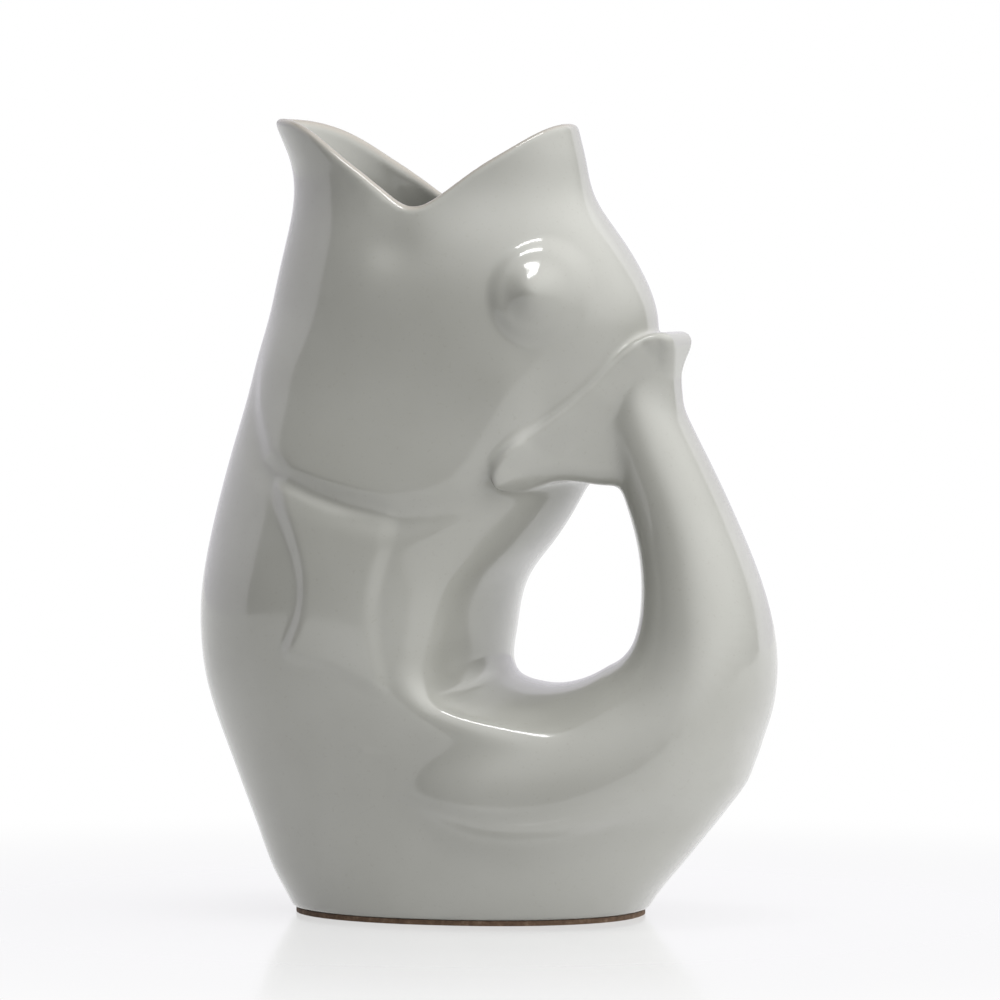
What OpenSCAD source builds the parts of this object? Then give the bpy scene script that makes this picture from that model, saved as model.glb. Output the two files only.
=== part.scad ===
// Gurgle jug in the form of an upright fish: a hollow stoneware body with a gaping mouth,
// a hollow tail handle that curls round a finger hole, its tail fin, side fins, eye domes
// and a bare foot ring. +Z is up, the pouring lip points to -X, the handle is on +X.
// The origin is the centre of the foot, on the table.

/* [Overall] */

// height of the jug at the tips of the mouth
total_h = 254; // [200:1:320]

// length from the breast of the fish to the outside of the tail
jug_l = 188; // [150:1:240]

// width of the belly
belly_w = 112; // [90:1:140]

/* [Walls] */

// thickness of the cast wall
wall_t = 4.6; // [3.5:0.1:6]

// thickness of the floor
floor_t = 7; // [5:0.5:10]

/* [Foot] */

// height of the bare foot ring
foot_h = 1.6; // [1:0.2:3]

// width of the bare foot ring
foot_w = 7; // [5:0.5:10]

// how far the foot ring is set in from the glazed edge
foot_inset = 1; // [0.5:0.1:2]

/* [Tail fin] */

// thickness of the tail fin where it meets the hole's wall, side to side
tail_fin_t = 92; // [76:1:104]

/* [Side fins] */

// how far a side fin stands out from the body
side_fin_out = 2.6; // [1.5:0.1:4]

/* [Eyes] */

// width of an eye dome
eye_w = 31; // [24:0.5:36]

// how far an eye dome stands out from the head
eye_out = 3.4; // [2:0.1:5]

/* [Smoothness] */

// facets round the body
facets_body = 52; // [40:2:60]

// facets round the tail
facets_tail = 28; // [20:2:36]

/* [Hidden] */

// overrun of the bore past the seam that it opens, in rows of the tail's table
overrun = 0.2;

// thickness of the slices that a tail link spans
slice_t = 0.2;

// the jug's outline: each row is a twentieth of the height above the one before
row_share = 0.05;

// front of each row, as a share of the length
front_shares = [
    -0.294, -0.343, -0.366, -0.394, -0.419, -0.444, -0.461, -0.467, -0.469, -0.460, -0.445,
    -0.428, -0.409, -0.388, -0.373, -0.350, -0.337, -0.322, -0.309, -0.316, -0.356
];

// back of each row, as a share of the length: the pedestal, then the belly, then the head
back_shares = [
    0.292, 0.350, 0.409, 0.455, 0.500, 0.330, 0.125, 0.115, 0.115, 0.120, 0.166,
    0.204, 0.242, 0.284, 0.320, 0.330, 0.304, 0.262, 0.208, 0.201, 0.180
];

// half width of each row, as a share of the belly's width
half_shares = [
    0.405, 0.424, 0.427, 0.432, 0.452, 0.478, 0.494, 0.500, 0.498, 0.490, 0.473,
    0.454, 0.434, 0.414, 0.399, 0.389, 0.368, 0.330, 0.284, 0.270, 0.250
];

// place of the widest line of each row, as a share of the length
widest_shares = [
    0.000, 0.008, 0.012, 0.012, 0.000, -0.060, -0.130, -0.150, -0.155, -0.150, -0.136,
    -0.118, -0.094, -0.070, -0.045, -0.034, -0.032, -0.054, -0.100, -0.138, -0.160
];

// wall that the finger hole cuts across the back of each row, as a share of the length,
// taken at its corners: it lies clear of the rows below and above the hole
hole_wall_shares = [
    0.600, 0.600, 0.600, 0.600, 0.600, 0.330, 0.004, 0.022, 0.027, 0.062, 0.185,
    0.600, 0.600, 0.600, 0.600, 0.600, 0.600, 0.600, 0.600, 0.600, 0.600
];

// rounding where the flanks turn into that wall, how far the wall bulges, and the place of its
// corners as a share of the belly's width
hole_wall_round = 7;
hole_wall_bulge = 7;
hole_wall_corner_share = 0.36;

// how square the back half of each row is: 2 is an ellipse
back_powers = [
    2.2, 2.2, 2.2, 2.2, 2.4, 2.4, 2.3, 2.3, 2.3, 2.3, 2.3,
    2.3, 2.3, 2.3, 2.2, 2.2, 2.2, 2.3, 2.3, 2.4, 2.4
];

// how blunt the front half of each row is: 2 is an ellipse, less is a pointed chin
front_powers = [
    2.0, 2.0, 2.0, 2.0, 2.0, 2.0, 2.0, 2.0, 1.9, 1.8, 1.8,
    1.8, 1.8, 1.8, 1.8, 1.8, 1.8, 1.65, 1.4, 1.25, 1.2
];

// power of the front half across its length, and the most the back half is squared across its width
front_power = 2.1;
side_power = 3;

// the mouth's rim: first place and step of its rows along the length, as shares of the length
rim_start_share = -0.39;
rim_step_share = 0.03;

// height of the rim at each of its rows, as a share of the total height
rim_shares = [
    1.000, 1.000, 1.001, 0.999, 0.992, 0.981, 0.966, 0.950, 0.935, 0.919, 0.902,
    0.887, 0.889, 0.905, 0.923, 0.940, 0.954, 0.969, 0.984, 0.995, 0.997, 0.997
];

// height above which the rows of the wall bend up to the rim, as a share of the total height
rim_root_share = 0.74;

// height at which the search for the rim starts, as a share of the total height, and its steps
rim_middle_share = 0.95;
meet_steps = 24;

// the tail's centre line: place along the length, height, half thickness in its own plane
// and half thickness side to side, as shares of the length, height, width and width
tail_shares = [
    [-0.076, 0.215, 0.190, 0.460],
    [ 0.050, 0.194, 0.240, 0.506],
    [ 0.150, 0.181, 0.238, 0.510],
    [ 0.268, 0.200, 0.236, 0.480],
    [ 0.368, 0.242, 0.240, 0.412],
    [ 0.418, 0.316, 0.202, 0.322],
    [ 0.415, 0.396, 0.168, 0.264],
    [ 0.391, 0.468, 0.139, 0.222],
    [ 0.363, 0.524, 0.128, 0.204],
    [ 0.332, 0.575, 0.121, 0.191],
    [ 0.306, 0.622, 0.113, 0.180],
    [ 0.300, 0.664, 0.090, 0.160],
    [ 0.318, 0.700, 0.050, 0.120]
];

// roundness of the tail across: its outer half, and each row of the half that faces the hole
tail_power = 2.1;
tail_inner_powers = [1.5, 1.5, 1.5, 1.55, 1.7, 1.9, 2.1, 2.1, 2.1, 2.1, 2.1, 2.1, 2.1];

// rows of the tail: where the handle leaves the pedestal, and where its bore ends
tail_seam_row = 5.2;
tail_bore_row = 9;
tail_links = 22;
bore_links = 12;

// row of the tail up to which its ring is cut out of the side fins
ring_root_row = 4;

// part of a row over which the tail's direction is taken
way_rows = 0.05;

// outline of the tail fin: place along the length and height
tail_fin_shares = [
    [0.372, 0.640], [0.364, 0.672], [0.372, 0.700], [0.380, 0.722], [0.362, 0.736],
    [0.324, 0.728], [0.288, 0.700], [0.250, 0.664], [0.206, 0.634], [0.156, 0.604],
    [0.120, 0.570], [0.098, 0.536], [0.136, 0.530], [0.200, 0.554], [0.262, 0.538],
    [0.330, 0.546]
];

// outline of a side fin: place along the length and height
side_fin_shares = [
    [-0.275, 0.566], [-0.240, 0.506], [-0.206, 0.440], [-0.204, 0.380], [-0.232, 0.330],
    [-0.170, 0.300], [-0.106, 0.272], [-0.056, 0.256], [-0.058, 0.330], [-0.062, 0.400],
    [-0.062, 0.466], [-0.120, 0.494], [-0.200, 0.520]
];

// thickness of the tail fin at its free end, as a share of the thickness at the hole's wall
tail_fin_taper_share = 0.28;

// size of the tail fin's flat sides, as a share of its outline, and how quickly its edge rounds
tail_fin_face_share = 0.80;
tail_fin_power = 0.7;

// slope of a side fin's edge: the raised face is the outline drawn in by this share
side_fin_bevel_share = 0.86;

// how deep a side fin's blank starts and how far out it ends, as shares of the belly's width
side_fin_root_share = 0.30;
side_fin_tip_share = 0.56;

// eye dome: its height on the head, and its turn round the head in degrees
eye_z_share = 0.770;
eye_turn = 54;

// radius and rise of the eye dome's steps, rim first
eye_radius_shares = [1.00, 0.97, 0.88, 0.76, 0.62, 0.50, 0.38, 0.24, 0.10];
eye_rise_shares = [0.00, 0.30, 0.66, 0.88, 0.96, 0.93, 0.97, 1.03, 1.05];

// steps of the walls
outer_steps = 27;
rim_steps = 9;
lip_steps = 5;
round_steps = 8;
facets_eye = 32;

row_h = total_h * row_share;
rim_root = total_h * rim_root_share;
floor_z = foot_h + floor_t;

// value of a smooth curve through a list of steering values, at place t counted in rows
function smooth(list, t) =
    let(
        last = len(list) - 1,
        at = min(max(t, 0), last - 0.000001),
        i = floor(at),
        u = at - i,
        a = list[max(i - 1, 0)],
        b = list[i],
        c = list[min(i + 1, last)],
        d = list[min(i + 2, last)]
    )
    (pow(1 - u, 3) * a + (3 * pow(u, 3) - 6 * pow(u, 2) + 4) * b
        + (3 * u * (1 + u - pow(u, 2)) + 1) * c + pow(u, 3) * d) / 6;

// power of a sine or cosine that keeps its sign
function signed_pow(v, power) = sign(v) * pow(abs(v), power);

// the smaller of two values, rounded over where they are within reach of each other
function rounded_min(a, b, reach) =
    min(a, b) - pow(max(reach - abs(a - b), 0), 3) / (6 * pow(reach, 2));

// point of the wall at height z and turn a, set in from the outside by inset
function wall_point(z, a, inset) =
    let(
        t = z / row_h,
        front = jug_l * smooth(front_shares, t) + inset,
        back = jug_l * smooth(back_shares, t) - inset,
        half = belly_w * smooth(half_shares, t) - inset,
        widest = jug_l * smooth(widest_shares, t),
        square = smooth(back_powers, t),
        blunt = smooth(front_powers, t),
        ahead = cos(a) < 0,
        reach = ahead ? widest - front : back - widest,
        along = ahead ? front_power : square,
        across = ahead ? blunt : min(square, side_power),
        x = widest + reach * signed_pow(cos(a), 2 / along),
        y = half * signed_pow(sin(a), 2 / across),
        bulge = hole_wall_bulge * (1 - pow(y / (belly_w * hole_wall_corner_share), 2)),
        wall = jug_l * smooth(hole_wall_shares, t) + bulge - inset
    )
    [rounded_min(x, wall, hole_wall_round), y, z];

// height of the mouth's rim at place x
function rim_z(x) =
    total_h * smooth(rim_shares, (x / jug_l - rim_start_share) / rim_step_share);

// height at which the wall meets the rim on turn a, found by going back and forth
function meet_z(a, inset, z, left) =
    left == 0 ? z : meet_z(a, inset, (z + rim_z(wall_point(z, a, inset)[0])) / 2, left - 1);

// ring of the wall at height z
function level_ring(z, inset) =
    [for (k = [0 : facets_body - 1]) wall_point(z, 360 * k / facets_body, inset)];

// ring a share of the way from the root of the rim up to the rim, dropped by drop
function rim_ring(share, inset, drop) =
    [for (k = [0 : facets_body - 1])
        let(
            a = 360 * k / facets_body,
            top = meet_z(a, wall_t / 2, total_h * rim_middle_share, meet_steps),
            z = rim_root + (top - drop - rim_root) * share
        )
        wall_point(z, a, inset)];

// rings of the outside of the body, from the foot up to the rim
function outer_rings() = concat(
    [for (i = [0 : outer_steps]) level_ring(foot_h + (rim_root - foot_h) * i / outer_steps, 0)],
    [for (i = [1 : rim_steps]) rim_ring(i / rim_steps, 0, wall_t / 2)]
);

// rings of the rounded lip, from the outside over to the inside
function lip_rings() =
    [for (i = [1 : lip_steps])
        let(turn = 180 * i / (lip_steps + 1))
        rim_ring(1, wall_t / 2 * (1 - cos(turn)), wall_t / 2 * (1 - sin(turn)))];

// rings of the inside, from the rim down to the root of the rim
function throat_rings() =
    [for (i = [rim_steps : -1 : 0]) rim_ring(i / rim_steps, wall_t, wall_t / 2)];

// rings of the space inside the head and belly, from the floor to just above the root
function belly_rings() = concat(
    [for (i = [0 : outer_steps]) level_ring(floor_z + (rim_root - floor_z) * i / outer_steps, wall_t)],
    [rim_ring(1 / rim_steps, wall_t, wall_t / 2)]
);

// closed solid from a list of rings of equal count, first ring lowest
module ring_stack(rings) {
    n = len(rings[0]);
    m = len(rings);
    points = [for (ring = rings) for (p = ring) p];
    sides = [
        for (i = [0 : m - 2]) for (k = [0 : n - 1])
            each [
                [i * n + k, (i + 1) * n + k, (i + 1) * n + (k + 1) % n],
                [i * n + k, (i + 1) * n + (k + 1) % n, i * n + (k + 1) % n]
            ]
    ];
    bottom = [[for (k = [0 : n - 1]) k]];
    top = [[for (k = [n - 1 : -1 : 0]) (m - 1) * n + k]];
    polyhedron(points = points, faces = concat(sides, bottom, top), convexity = 10);
}

// the head and belly, solid below the throat, with the rounded lip
module head_and_belly() {
    ring_stack(concat(outer_rings(), lip_rings(), throat_rings()));
}

// the head and belly filled up to the rim, for cutting what leans on it
module head_and_belly_filled() {
    ring_stack(outer_rings());
}

// the space in the head and belly
module belly_space() {
    ring_stack(belly_rings());
}

// values of the tail's table at row t
function tail_at(t) = smooth(tail_shares, t);

// one slice across the tail at row t, set in from the outside by inset
module tail_slice(t, inset) {
    at = tail_at(t);
    before = tail_at(t - way_rows);
    after = tail_at(t + way_rows);
    way_x = jug_l * (after[0] - before[0]);
    way_z = total_h * (after[1] - before[1]);
    half_in = belly_w * at[2] - inset;
    half_side = belly_w * at[3] - inset;
    translate([jug_l * at[0], 0, total_h * at[1]])
        rotate([0, atan2(way_x, way_z), 0])
            linear_extrude(height = slice_t, center = true)
                polygon([for (k = [0 : facets_tail - 1])
                    let(
                        a = 360 * k / facets_tail,
                        power = cos(a) < 0 ? smooth(tail_inner_powers, t) : tail_power
                    )
                    [
                        half_in * signed_pow(cos(a), 2 / power),
                        half_side * signed_pow(sin(a), 2 / power)
                    ]]);
}

// a stretch of the tail from one row to another
module tail_stretch(first, last, links, inset) {
    for (i = [0 : links - 1])
        hull() {
            tail_slice(first + (last - first) * i / links, inset);
            tail_slice(first + (last - first) * (i + 1) / links, inset);
        }
}

// smooth closed outline through a list of shares, in places along and heights
function closed_outline(shares, steps) =
    let(n = len(shares), wrap = concat([shares[n - 1]], shares, [shares[0], shares[1]]))
    [for (i = [0 : n * steps - 1])
        let(q = smooth(wrap, 1 + i / steps))
        [jug_l * q[0], total_h * q[1]]];

// middle of a list of points
function middle(points) =
    [for (axis = [0, 1]) [for (p = points) p[axis]] * [for (p = points) 1] / len(points)];

// the tail fin before it is fitted: a pillow with the fin's outline
module tail_fin_pillow() {
    outline = closed_outline(tail_fin_shares, 3);
    centre = middle(outline);
    first = min([for (p = outline) p[0]]);
    last = max([for (p = outline) p[0]]);
    ring_stack([for (i = [0 : round_steps])
        let(
            turn = 180 * i / round_steps,
            side = tail_fin_t / 2 * signed_pow(cos(turn), tail_fin_power),
            size = tail_fin_face_share + (1 - tail_fin_face_share) * pow(sin(turn), tail_fin_power)
        )
        [for (p = outline)
            let(thin = 1 - (1 - tail_fin_taper_share) * (p[0] - first) / (last - first))
            [
                centre[0] + (p[0] - centre[0]) * size,
                side * thin,
                centre[1] + (p[1] - centre[1]) * size
            ]]]);
}

// a side fin on the -Y side: a plate with sloping edges that follows the body
module side_fin() {
    outline = closed_outline(side_fin_shares, 3);
    centre = middle(outline);
    inner = belly_w * side_fin_root_share;
    outer = belly_w * side_fin_tip_share;
    difference() {
        intersection() {
            ring_stack([for (share = [1, side_fin_bevel_share])
                [for (p = outline) [
                    centre[0] + (p[0] - centre[0]) * share,
                    share == 1 ? -inner : -outer,
                    centre[1] + (p[1] - centre[1]) * share
                ]]]);
            ring_stack([for (i = [0 : outer_steps])
                level_ring(foot_h + (rim_root - foot_h) * i / outer_steps, -side_fin_out)]);
        }
        head_and_belly_filled();
        tail_stretch(0, ring_root_row, bore_links, 0);
    }
}

// an eye dome on the -Y side
module eye() {
    at = wall_point(total_h * eye_z_share, -eye_turn, 0);
    difference() {
        translate(at)
            rotate([90, 0, eye_turn / 2])
                translate([0, 0, -eye_out / 2])
                    union() {
                        for (i = [0 : len(eye_radius_shares) - 2])
                            hull() {
                                eye_step(i);
                                eye_step(i + 1);
                            }
                        translate([0, 0, -eye_w / 2])
                            linear_extrude(height = eye_w / 2)
                                circle(d = eye_w, $fn = facets_eye);
                    }
        head_and_belly_filled();
    }
}

// one step of the eye dome
module eye_step(i) {
    translate([0, 0, eye_out * eye_rise_shares[i]])
        linear_extrude(height = slice_t)
            circle(d = eye_w * eye_radius_shares[i], $fn = facets_eye);
}

// the hollow body: head, belly and pedestal with the root of the tail
module body() {
    color([0.80, 0.80, 0.77])
        difference() {
            union() {
                head_and_belly();
                difference() {
                    tail_stretch(0, tail_seam_row, bore_links, 0);
                    belly_space();
                }
            }
            belly_space();
            tail_stretch(0, tail_seam_row + overrun, bore_links, wall_t);
        }
}

// the hollow tail that is the handle, with its blind bore
module tail_handle() {
    color([0.80, 0.80, 0.77])
        difference() {
            tail_stretch(tail_seam_row, len(tail_shares) - 1, tail_links, 0);
            tail_stretch(tail_seam_row - overrun, tail_bore_row, bore_links, wall_t);
            head_and_belly_filled();
        }
}

// the tail fin on the back of the head
module tail_fin() {
    color([0.80, 0.80, 0.77])
        difference() {
            tail_fin_pillow();
            tail_stretch(tail_seam_row, len(tail_shares) - 1, tail_links, 0);
            head_and_belly_filled();
        }
}

// the raised fin behind each gill cover
module left_pectoral_fin() {
    color([0.80, 0.80, 0.77])
        side_fin();
}

module right_pectoral_fin() {
    color([0.80, 0.80, 0.77])
        mirror([0, 1, 0])
            side_fin();
}

// the raised eye domes
module left_eye() {
    color([0.80, 0.80, 0.77])
        eye();
}

module right_eye() {
    color([0.80, 0.80, 0.77])
        mirror([0, 1, 0])
            eye();
}

// the bare ring that the jug stands on
module foot_ring() {
    color([0.45, 0.34, 0.27])
        linear_extrude(height = foot_h)
            difference() {
                polygon([for (p = level_ring(foot_h, foot_inset)) [p[0], p[1]]]);
                polygon([for (p = level_ring(foot_h, foot_inset + foot_w)) [p[0], p[1]]]);
            }
}

body();
tail_handle();
tail_fin();
left_pectoral_fin();
right_pectoral_fin();
left_eye();
right_eye();
foot_ring();
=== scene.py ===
"""Looks of the fish-shaped gurgle jug: one glazed skin, grown from the jug's own tables as a
distance field, split at the seams into the jug's pieces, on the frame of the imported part."""

import math

import bpy
import numpy as np
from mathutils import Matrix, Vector

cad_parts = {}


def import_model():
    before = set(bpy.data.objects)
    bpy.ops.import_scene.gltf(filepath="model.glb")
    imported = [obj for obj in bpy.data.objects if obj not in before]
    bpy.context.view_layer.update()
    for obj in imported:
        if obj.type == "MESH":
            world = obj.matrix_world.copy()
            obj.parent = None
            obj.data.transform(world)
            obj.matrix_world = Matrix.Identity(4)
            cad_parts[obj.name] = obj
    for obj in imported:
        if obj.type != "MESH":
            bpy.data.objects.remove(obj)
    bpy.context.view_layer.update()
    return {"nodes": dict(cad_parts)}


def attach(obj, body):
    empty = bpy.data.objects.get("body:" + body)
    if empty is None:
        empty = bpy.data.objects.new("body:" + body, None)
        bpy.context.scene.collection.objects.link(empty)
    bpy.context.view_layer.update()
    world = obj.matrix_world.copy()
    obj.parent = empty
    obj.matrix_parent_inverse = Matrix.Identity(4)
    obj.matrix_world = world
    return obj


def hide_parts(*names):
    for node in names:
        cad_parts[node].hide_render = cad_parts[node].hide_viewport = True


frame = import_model()

# sizes, in mm
TOTAL_H, JUG_L, BELLY_W = 254.0, 188.0, 112.0
WALL, FOOT_H, FLOOR_Z = 4.6, 1.6, 8.6
ROW_H = TOTAL_H * 0.05
STEP = 1.1  # pitch of the field's grid
MM = 0.001

# the body's rows, from the table up: shares of the jug's length, then of the belly's width
FRONT = [-0.294, -0.343, -0.366, -0.394, -0.419, -0.444, -0.461, -0.467, -0.469, -0.460,
         -0.445, -0.428, -0.409, -0.388, -0.373, -0.350, -0.337, -0.322, -0.309, -0.316,
         -0.356]
BACK = [0.292, 0.350, 0.409, 0.455, 0.500, 0.330, 0.125, 0.115, 0.115, 0.120, 0.166,
        0.204, 0.242, 0.284, 0.320, 0.330, 0.304, 0.262, 0.208, 0.201, 0.180]
WIDEST = [0.000, 0.008, 0.012, 0.012, 0.000, -0.060, -0.130, -0.150, -0.155, -0.150,
          -0.136, -0.118, -0.094, -0.070, -0.045, -0.034, -0.032, -0.054, -0.100, -0.138,
          -0.160]
HALF = [0.405, 0.424, 0.427, 0.432, 0.452, 0.478, 0.494, 0.500, 0.498, 0.490, 0.473,
        0.454, 0.434, 0.414, 0.399, 0.389, 0.368, 0.330, 0.284, 0.270, 0.250]

# how square each row is behind its widest place, and how blunt ahead of it
BACK_POWER = [2.2, 2.2, 2.2, 2.2, 2.4, 2.4, 2.3, 2.3, 2.3, 2.3, 2.3,
              2.3, 2.3, 2.3, 2.2, 2.2, 2.2, 2.3, 2.3, 2.4, 2.4]
FRONT_POWER = [2.0] * 8 + [1.9] + [1.8] * 8 + [1.65, 1.4, 1.25, 1.2]
LENGTH_POWER, MOST_SIDE_POWER = 2.1, 3
TURN_HALF = 11  # over twice this length the powers change at the widest place

# where the finger hole's wall crosses the body, at the wall's corners; 0.60 is clear of the
# body, and the row under the hole lies lower than in the solids, for a rounder ring there
HOLE_WALL = [0.60, 0.60, 0.60, 0.60, 0.60, 0.060, 0.004, 0.022, 0.027, 0.062, 0.185,
             0.60, 0.60, 0.60, 0.60, 0.60, 0.60, 0.60, 0.60, 0.60, 0.60]
HOLE_WALL_ROUND, HOLE_WALL_BULGE = 7.0, 7.0
HOLE_WALL_CORNER = BELLY_W * 0.36

# height of the mouth's rim along the jug, as shares of the total height
RIM_START, RIM_STEP = -0.39, 0.03
RIM = [1.000, 1.000, 1.001, 0.999, 0.992, 0.981, 0.966, 0.950, 0.935, 0.919, 0.902,
       0.887, 0.889, 0.905, 0.923, 0.940, 0.954, 0.969, 0.984, 0.995, 0.997, 0.997]

# the tail's rows: centre along the jug and up, half thickness towards the hole and sideways
TAIL = [[-0.076, 0.215, 0.170, 0.390], [0.050, 0.194, 0.240, 0.506],
        [0.150, 0.181, 0.238, 0.510], [0.268, 0.200, 0.236, 0.480],
        [0.368, 0.242, 0.240, 0.412], [0.418, 0.316, 0.202, 0.322],
        [0.415, 0.396, 0.168, 0.264], [0.391, 0.468, 0.139, 0.222],
        [0.363, 0.524, 0.128, 0.204], [0.332, 0.575, 0.121, 0.191],
        [0.306, 0.622, 0.113, 0.180], [0.300, 0.664, 0.090, 0.160],
        [0.318, 0.700, 0.050, 0.120]]
TAIL_POWER = 2.1
RING_SAG = [10, 10, 10, 9.5, 8, 4, 0, 0, 0, 0, 0, 0, 0]  # how far out the ring is widest
TAIL_STEPS = 30  # straight pieces of the centre line in each row
TAIL_STEEPEST = 1.3  # slope that is left to its field, over its thickness
TAIL_SEAM, TAIL_SEAM_ROW_L = 5.2, 14
BORE_END, BORE_END_ROW_L, BORE_END_ROUND, BORE_FILLET = 4.9, 12.0, 4.0, 5.0

# the tail fin: its outline, the soft ridge on it and the hollow beside the ridge
TAIL_FIN = [[0.372, 0.640], [0.364, 0.672], [0.372, 0.700], [0.380, 0.722],
            [0.362, 0.736], [0.324, 0.728], [0.288, 0.700], [0.250, 0.664],
            [0.206, 0.634], [0.156, 0.604], [0.120, 0.570], [0.098, 0.536],
            [0.136, 0.530], [0.200, 0.554], [0.262, 0.538], [0.330, 0.546]]
FIN_RIDGE = [(72, 183), (68, 187), (61, 185), (54, 178), (47, 169), (39, 161.5), (29.5, 154),
             (23, 145), (19, 136)]
FIN_HALF, FIN_TAPER, FIN_PAST_HEAD = 46.0, 0.72, 0.6
FIN_ROUND, FIN_FILLET = 6.0, 5.0
RIDGE_H, RIDGE_W = 3.0, 3.5
HOLLOW_D, HOLLOW_START, HOLLOW_RUN = 4.5, 2.0, 10.0

# the side fin: its star-like outline, and a plate that lifts off towards its front
SIDE_FIN = [(-55, 143), (-44, 124), (-38, 108), (-40, 94), (-48, 83), (-34, 82),
            (-22, 77), (-9, 70), (-13, 84), (-15, 100), (-12, 116), (-6, 131), (-24, 131),
            (-38, 136)]
PLATE_H, PLATE_LIFT, PLATE_BACK, PLATE_L = 1.1, 1.5, -12, 34
PLATE_EDGE = (2.2, 6.2)  # where its edge ends outside the outline, and how wide the edge is

# the step of the gill cover, the groove at its foot, and where both fade out
GILL = [(-75, 200), (-69, 180), (-62, 162), (-54, 147), (-45, 141), (-35, 137.6),
        (-22, 134), (-11, 132), (0, 133), (11, 136), (20, 141), (30, 150), (36, 162)]
GILL_H, GILL_EDGE, GILL_BLEND = 2.1, 4.0, 30
GROOVE_D, GROOVE_W = 0.9, 4.5
GILL_FRONT, GILL_BACK, GILL_TOP = (-76, 24), (22, 16), (172, 26)

# the dimple at the mouth's corner, and the eye: a boss with a dome on it
MOUTH_CORNER, CORNER_D, CORNER_SPREAD = (-14, 213), 1.5, 5.5
EYE, EYE_STRETCH, EYE_SEAM = (33.0, 199.0), 1.12, 16.5
BOSS_H, BOSS_EDGE = 2.2, (11.2, 6.5)
DOME_H, DOME_R = 4.6, 12.5

# shares of the half width from which the flank, and the eye's side, count as facing sideways
FLANK, EYE_FLANK = (0.30, 0.35), (0.25, 0.25)

# fillet of the tail: at the pedestal, and what the belly's side, the back and the hole add
FILLET, FILLET_BELLY, FILLET_BACK, FILLET_HOLE = 7.0, 9.0, 8.0, 10.0
BELLY_SIDE, BELLY_LOW = (20, 30), (62, 25)
BACK_SIDE, BACK_LOW = (52, 30), (50, 16)
HOLE_FOOT, HOLE_FOOT_SPREAD = (16, 76), 15
FOOT_ROUND, FLOOR_ROUND = 2.0, 9.0

FAR = 1e9
CURVE_STEPS = 6  # points between two steering points of the tail fin's outline
SIDE_FIN_STEPS = 5


# curves
def bspline(a, b, c, d, u):
    """Place on a uniform cubic B-spline between its steering values b and c."""
    return ((1 - u) ** 3 * a + (3 * u ** 3 - 6 * u ** 2 + 4) * b
            + (3 * u * (1 + u - u ** 2) + 1) * c + u ** 3 * d) / 6


def spline(values, t):
    """Uniform cubic B-spline along a list of steering values, at t counted in rows."""
    v = np.asarray(values, float)
    last = len(v) - 1
    t = np.clip(np.asarray(t, float), 0, last - 1e-6)
    i = np.floor(t).astype(int)
    u = t - i
    if v.ndim == 2:
        u = u[..., None]
    a, b = v[np.maximum(i - 1, 0)], v[i]
    c, d = v[np.minimum(i + 1, last)], v[np.minimum(i + 2, last)]
    return bspline(a, b, c, d, u)


def closed_curve(points, steps):
    """Closed B-spline along a list of points, as a dense polygon."""
    p = np.asarray(points, float)
    n = len(p)
    t = np.arange(n * steps) / steps
    i, u = t.astype(int), (t % 1)[:, None]
    a, b, c, d = (p[(i + k) % n] for k in (-1, 0, 1, 2))
    return bspline(a, b, c, d, u)


def smoothstep(x):
    x = np.clip(x, 0, 1)
    return x * x * (3 - 2 * x)


def rise(v, start, length):
    """0 up to start, 1 from start + length on."""
    return smoothstep((v - start) / length)


def fall(v, end, length):
    """1 up to end - length, 0 from end on."""
    return smoothstep((end - v) / length)


def smin(a, b, k):
    """Smooth minimum: a union with a fillet of about k."""
    h = np.maximum(k - np.abs(a - b), 0) / k
    return np.minimum(a, b) - h * h * h * k / 6


def smax(a, b, k):
    """Smooth maximum: what two shapes share, with its edge rounded by about k."""
    return -smin(-a, -b, k)


def polyline_distance(x, z, points, closed):
    """Distance from (x, z) to a polyline, and for a closed one the sign: negative inside."""
    p = np.asarray(points, float)
    q = np.roll(p, -1, axis=0)
    if not closed:
        p, q = p[:-1], q[:-1]
    best = np.full(np.shape(x), FAR)
    inside = np.zeros(np.shape(x), bool)
    for (ax, az), (bx, bz) in zip(p, q):
        dx, dz = bx - ax, bz - az
        s = np.clip(((x - ax) * dx + (z - az) * dz) / (dx * dx + dz * dz), 0, 1)
        best = np.minimum(best, np.hypot(x - ax - s * dx, z - az - s * dz))
        if closed:
            cross = (az > z) != (bz > z)
            with np.errstate(divide="ignore", invalid="ignore"):
                at = ax + (z - az) * dx / (dz if dz else 1 / FAR)
            inside ^= cross & (x < at)
    return np.where(inside, -best, best) if closed else best


# the grid: half of the jug is worked out, because its two sides mirror each other
GRID_X, GRID_SIDE, GRID_Z = (-97.0, 108.0), 66, (-4.5, 263.0)
FLATTEST = 0.004  # the least slope that a field is divided by
MOST_INSIDE, MOST_OUTSIDE = -60, 80

xs = np.arange(*GRID_X, STEP)
ys = np.arange(-1, int(GRID_SIDE / STEP) + 2) * STEP
zs = np.arange(*GRID_Z, STEP)
X, Y, Z = xs[:, None, None], np.abs(ys)[None, :, None], zs[None, None, :]
X2, Z2 = np.meshgrid(xs, zs, indexing="ij")


def slab(f):
    """A field of the plane y = 0, given an axis for y."""
    return f[:, None, :]


def bump(centre, spread):
    """1 at a place in the plane y = 0, fading away round it."""
    return np.exp(-((X2 - centre[0]) ** 2 + (Z2 - centre[1]) ** 2) / (2 * spread ** 2))


def normalised(g, steepest):
    """Distance to g = 1 from a function g that grows outwards, no steeper than given."""
    gx, gy, gz = np.gradient(g, STEP)
    size = np.sqrt(gx * gx + gy * gy + gz * gz)
    return np.clip((g - 1) / np.clip(size, FLATTEST, steepest), MOST_INSIDE, MOST_OUTSIDE)


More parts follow.
